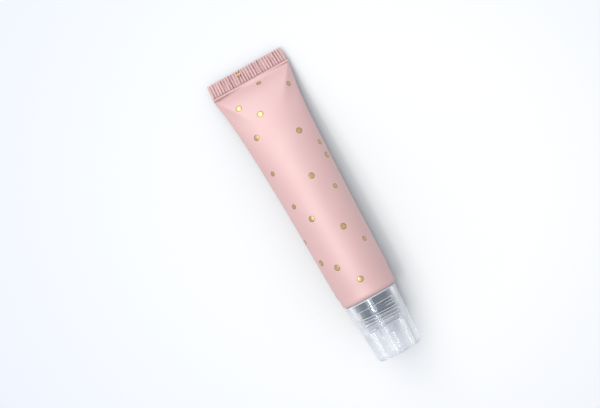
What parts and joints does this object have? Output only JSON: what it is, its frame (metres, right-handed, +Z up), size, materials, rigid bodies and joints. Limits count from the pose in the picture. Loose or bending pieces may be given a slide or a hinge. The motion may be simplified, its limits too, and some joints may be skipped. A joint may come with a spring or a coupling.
{
  "type": "lip balm tube",
  "caption": "Soft squeeze tube of lip balm with a ribbed crimp seal, scattered foil dots and a clear screw cap, lying on its side.",
  "frame": {"origin": "middle of the part's footprint, on the surface that the tube lies on", "axes": "+X along the tube from the crimped seal to the cap, +Y across the wide side of the seal, +Z up"},
  "size_m": [0.1008, 0.0266, 0.019],
  "materials": {
    "sleeve": "satin",
    "threaded_head": "gloss",
    "screw_cap": "gloss",
    "balm_filling": "satin",
    "foil_dots": "polished"
  },
  "bodies": {
    "tube": {"sleeve": "sleeve", "threaded_head": "threaded_head", "balm_filling": "balm_filling", "foil_dots": "foil_dots"},
    "cap": {"screw_cap": "screw_cap"}
  },
  "joints": [
    {"name": "cap_pull", "type": "slide", "parent": "tube", "child": "cap", "axis": [1, 0, 0], "range_m": [0, 0.018]}
  ]
}
